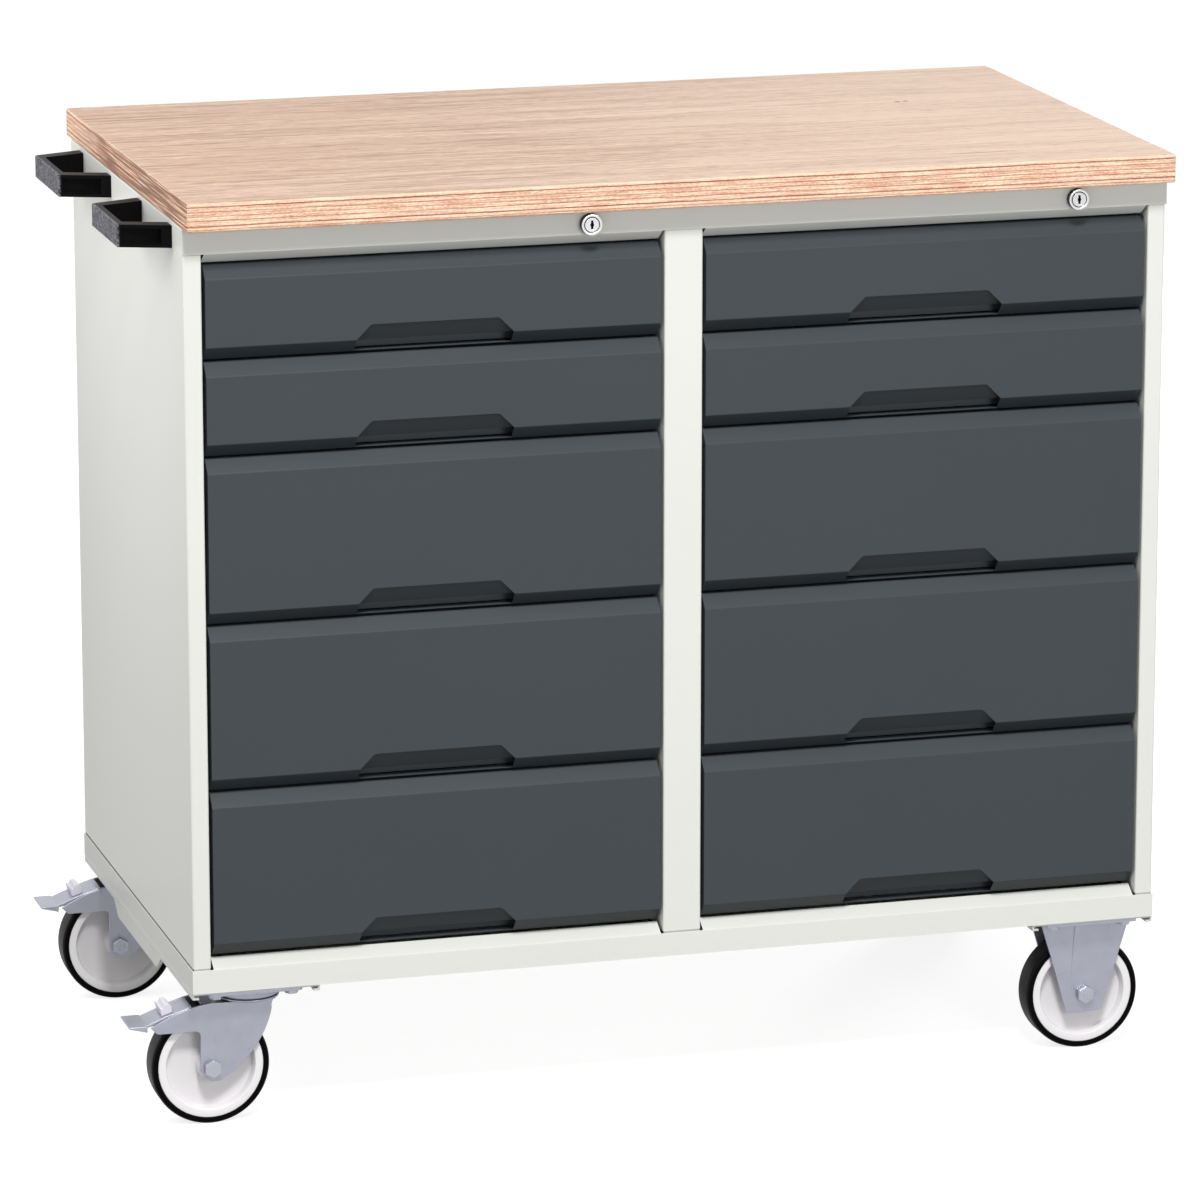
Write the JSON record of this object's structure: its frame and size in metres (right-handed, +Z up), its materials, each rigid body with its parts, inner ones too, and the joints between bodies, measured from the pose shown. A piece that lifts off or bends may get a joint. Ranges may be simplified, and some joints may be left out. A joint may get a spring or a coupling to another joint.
{
  "type": "mobile workbench with drawers",
  "caption": "Mobile workbench: plywood top on a sheet-steel cabinet with bays of grip-front drawers, key locks, end push handles, fixed castors and braked swivel castors.",
  "frame": {"origin": "on the floor, under the middle of the whole object's box", "axes": "+Z up, -Y towards the drawer fronts, -X towards the push handles and swivel castors"},
  "size_m": [1.1128, 0.6, 0.98],
  "materials": {
    "carcass_paint": "satin powder coat",
    "drawer_paint": "fine textured powder coat",
    "drawer_box_paint": "satin powder coat",
    "plywood": "oiled beech plywood",
    "zinc_steel": "zinc plated",
    "handle_plastic": "moulded",
    "lock_chrome": "polished",
    "wheel_plastic": "moulded",
    "tyre_rubber": "moulded rubber",
    "release_plastic": "moulded"
  },
  "bodies": {
    "cabinet": {"worktop": "plywood", "top_frame": "carcass_paint", "base_pan": "carcass_paint", "left_side_panel": "carcass_paint", "right_side_panel": "carcass_paint", "back_panel": "carcass_paint", "centre_divider": "carcass_paint", "runner_uprights": "carcass_paint", "castor_rails": "carcass_paint", "rail_skirts": "carcass_paint", "castor_bolts": "zinc_steel", "front_push_handle": "handle_plastic", "rear_push_handle": "handle_plastic", "lock_housings": "lock_chrome", "cabinet_runners": "zinc_steel", "swivel_plates": "zinc_steel", "fixed_brackets": "zinc_steel", "fixed_axles": "zinc_steel"},
    "left_drawer_1": {"left_drawer_front_1": "drawer_paint", "left_drawer_box_1": "drawer_box_paint"},
    "left_drawer_2": {"left_drawer_front_2": "drawer_paint", "left_drawer_box_2": "drawer_box_paint"},
    "left_drawer_3": {"left_drawer_front_3": "drawer_paint", "left_drawer_box_3": "drawer_box_paint"},
    "left_drawer_4": {"left_drawer_front_4": "drawer_paint", "left_drawer_box_4": "drawer_box_paint"},
    "left_drawer_5": {"left_drawer_front_5": "drawer_paint", "left_drawer_box_5": "drawer_box_paint"},
    "right_drawer_1": {"right_drawer_front_1": "drawer_paint", "right_drawer_box_1": "drawer_box_paint"},
    "right_drawer_2": {"right_drawer_front_2": "drawer_paint", "right_drawer_box_2": "drawer_box_paint"},
    "right_drawer_3": {"right_drawer_front_3": "drawer_paint", "right_drawer_box_3": "drawer_box_paint"},
    "right_drawer_4": {"right_drawer_front_4": "drawer_paint", "right_drawer_box_4": "drawer_box_paint"},
    "right_drawer_5": {"right_drawer_front_5": "drawer_paint", "right_drawer_box_5": "drawer_box_paint"},
    "left_lock": {"left_lock_barrel": "lock_chrome"},
    "right_lock": {"right_lock_barrel": "lock_chrome"},
    "front_swivel": {"front_swivel_fork": "zinc_steel", "front_swivel_axle": "zinc_steel"},
    "front_pedal": {"front_brake_pedal": "zinc_steel", "front_release_tab": "release_plastic"},
    "front_swivel_roller": {"front_swivel_wheel": "wheel_plastic", "front_swivel_tyre": "tyre_rubber"},
    "front_fixed_roller": {"front_fixed_wheel": "wheel_plastic", "front_fixed_tyre": "tyre_rubber"},
    "rear_swivel": {"rear_swivel_fork": "zinc_steel", "rear_swivel_axle": "zinc_steel"},
    "rear_pedal": {"rear_brake_pedal": "zinc_steel", "rear_release_tab": "release_plastic"},
    "rear_swivel_roller": {"rear_swivel_wheel": "wheel_plastic", "rear_swivel_tyre": "tyre_rubber"},
    "rear_fixed_roller": {"rear_fixed_wheel": "wheel_plastic", "rear_fixed_tyre": "tyre_rubber"}
  },
  "joints": [
    {"name": "left_drawer_1_slide", "type": "slide", "parent": "cabinet", "child": "left_drawer_1", "axis": [0, -1, 0], "range_m": [0, 0.4]},
    {"name": "left_drawer_2_slide", "type": "slide", "parent": "cabinet", "child": "left_drawer_2", "axis": [0, -1, 0], "range_m": [0, 0.4]},
    {"name": "left_drawer_3_slide", "type": "slide", "parent": "cabinet", "child": "left_drawer_3", "axis": [0, -1, 0], "range_m": [0, 0.4]},
    {"name": "left_drawer_4_slide", "type": "slide", "parent": "cabinet", "child": "left_drawer_4", "axis": [0, -1, 0], "range_m": [0, 0.4]},
    {"name": "left_drawer_5_slide", "type": "slide", "parent": "cabinet", "child": "left_drawer_5", "axis": [0, -1, 0], "range_m": [0, 0.4]},
    {"name": "right_drawer_1_slide", "type": "slide", "parent": "cabinet", "child": "right_drawer_1", "axis": [0, -1, 0], "range_m": [0, 0.4]},
    {"name": "right_drawer_2_slide", "type": "slide", "parent": "cabinet", "child": "right_drawer_2", "axis": [0, -1, 0], "range_m": [0, 0.4]},
    {"name": "right_drawer_3_slide", "type": "slide", "parent": "cabinet", "child": "right_drawer_3", "axis": [0, -1, 0], "range_m": [0, 0.4]},
    {"name": "right_drawer_4_slide", "type": "slide", "parent": "cabinet", "child": "right_drawer_4", "axis": [0, -1, 0], "range_m": [0, 0.4]},
    {"name": "right_drawer_5_slide", "type": "slide", "parent": "cabinet", "child": "right_drawer_5", "axis": [0, -1, 0], "range_m": [0, 0.4]},
    {"name": "left_lock_turn", "type": "hinge", "parent": "cabinet", "child": "left_lock", "pos_m": [-0.06889, -0.275, 0.9343], "axis": [0, 1, 0], "range_deg": [0, 90]},
    {"name": "right_lock_turn", "type": "hinge", "parent": "cabinet", "child": "right_lock", "pos_m": [0.45661, -0.275, 0.9343], "axis": [0, 1, 0], "range_deg": [0, 90]},
    {"name": "front_swivel_turn", "type": "hinge", "parent": "cabinet", "child": "front_swivel", "pos_m": [-0.42614, -0.23, 0.148], "axis": [0, 0, 1], "continuous": true},
    {"name": "front_pedal_press", "type": "hinge", "parent": "front_swivel", "child": "front_pedal", "pos_m": [-0.51836, -0.23, 0.11171], "axis": [0, -1, 0], "range_deg": [0, 10]},
    {"name": "front_swivel_roll", "type": "hinge", "parent": "front_swivel", "child": "front_swivel_roller", "pos_m": [-0.46914, -0.23, 0.0625], "axis": [0, 1, 0], "continuous": true},
    {"name": "front_fixed_roll", "type": "hinge", "parent": "cabinet", "child": "front_fixed_roller", "pos_m": [0.48886, -0.23, 0.0625], "axis": [0, 1, 0], "continuous": true},
    {"name": "rear_swivel_turn", "type": "hinge", "parent": "cabinet", "child": "rear_swivel", "pos_m": [-0.42614, 0.23, 0.148], "axis": [0, 0, 1], "continuous": true},
    {"name": "rear_pedal_press", "type": "hinge", "parent": "rear_swivel", "child": "rear_pedal", "pos_m": [-0.51836, 0.23, 0.11171], "axis": [0, -1, 0], "range_deg": [0, 10]},
    {"name": "rear_swivel_roll", "type": "hinge", "parent": "rear_swivel", "child": "rear_swivel_roller", "pos_m": [-0.46914, 0.23, 0.0625], "axis": [0, 1, 0], "continuous": true},
    {"name": "rear_fixed_roll", "type": "hinge", "parent": "cabinet", "child": "rear_fixed_roller", "pos_m": [0.48886, 0.23, 0.0625], "axis": [0, 1, 0], "continuous": true}
  ]
}
